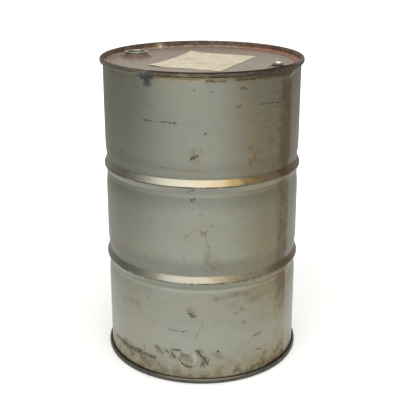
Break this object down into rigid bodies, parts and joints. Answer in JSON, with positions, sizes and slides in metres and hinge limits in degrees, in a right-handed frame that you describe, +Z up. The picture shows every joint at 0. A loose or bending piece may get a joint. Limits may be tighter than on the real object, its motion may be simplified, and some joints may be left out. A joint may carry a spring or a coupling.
{
  "type": "steel oil drum",
  "caption": "Tall cylindrical steel drum with rolling hoops, rolled rims and a sunken top with threaded screw plugs, for storing and carrying liquids.",
  "frame": {"origin": "on the ground at the drum's axis", "axes": "+Z up along the drum's axis, -Y towards the side that is seen, the plugs stand on a diameter 24 degrees off X"},
  "size_m": [0.585, 0.585, 0.9],
  "materials": {
    "body_paint": "grey enamel, stained, scratched and rusted",
    "head_paint": "faded brown-grey enamel, rusted towards the rim",
    "rusted_steel": "dark, rusted",
    "flange_zinc": "dull zinc plate",
    "plug_zinc": "worn zinc plate",
    "black_rubber": "matt",
    "aged_paper": "matt yellowed paper"
  },
  "bodies": {
    "drum": {"body_shell": "body_paint", "top_head": "head_paint", "bottom_head": "rusted_steel", "bung_flange": "flange_zinc", "bung_flange_gasket": "black_rubber", "vent_flange": "flange_zinc", "vent_flange_gasket": "black_rubber", "paper_label": "aged_paper"},
    "bung_gasket": {"bung_plug_gasket": "black_rubber"},
    "bung": {"bung_plug": "plug_zinc"},
    "vent_gasket": {"vent_plug_gasket": "black_rubber"},
    "vent": {"vent_plug": "plug_zinc"}
  },
  "joints": [
    {"name": "bung_lift", "type": "slide", "parent": "drum", "child": "bung_gasket", "axis": [0, 0, 1], "range_m": [0, 0.0128]},
    {"name": "bung_turn", "type": "hinge", "parent": "bung_gasket", "child": "bung", "pos_m": [-0.19504, 0.08684, 0.8795], "axis": [0, 0, 1], "range_deg": [0, 1980]},
    {"name": "vent_lift", "type": "slide", "parent": "drum", "child": "vent_gasket", "axis": [0, 0, 1], "range_m": [0, 0.0083]},
    {"name": "vent_turn", "type": "hinge", "parent": "vent_gasket", "child": "vent", "pos_m": [0.2103, -0.09363, 0.8795], "axis": [0, 0, 1], "range_deg": [0, 1620]}
  ],
  "couplings": [
    {"joint": "bung_lift", "follows": "bung_turn", "m_per_rad": 0.00036749},
    {"joint": "vent_lift", "follows": "vent_turn", "m_per_rad": 0.00028871}
  ]
}
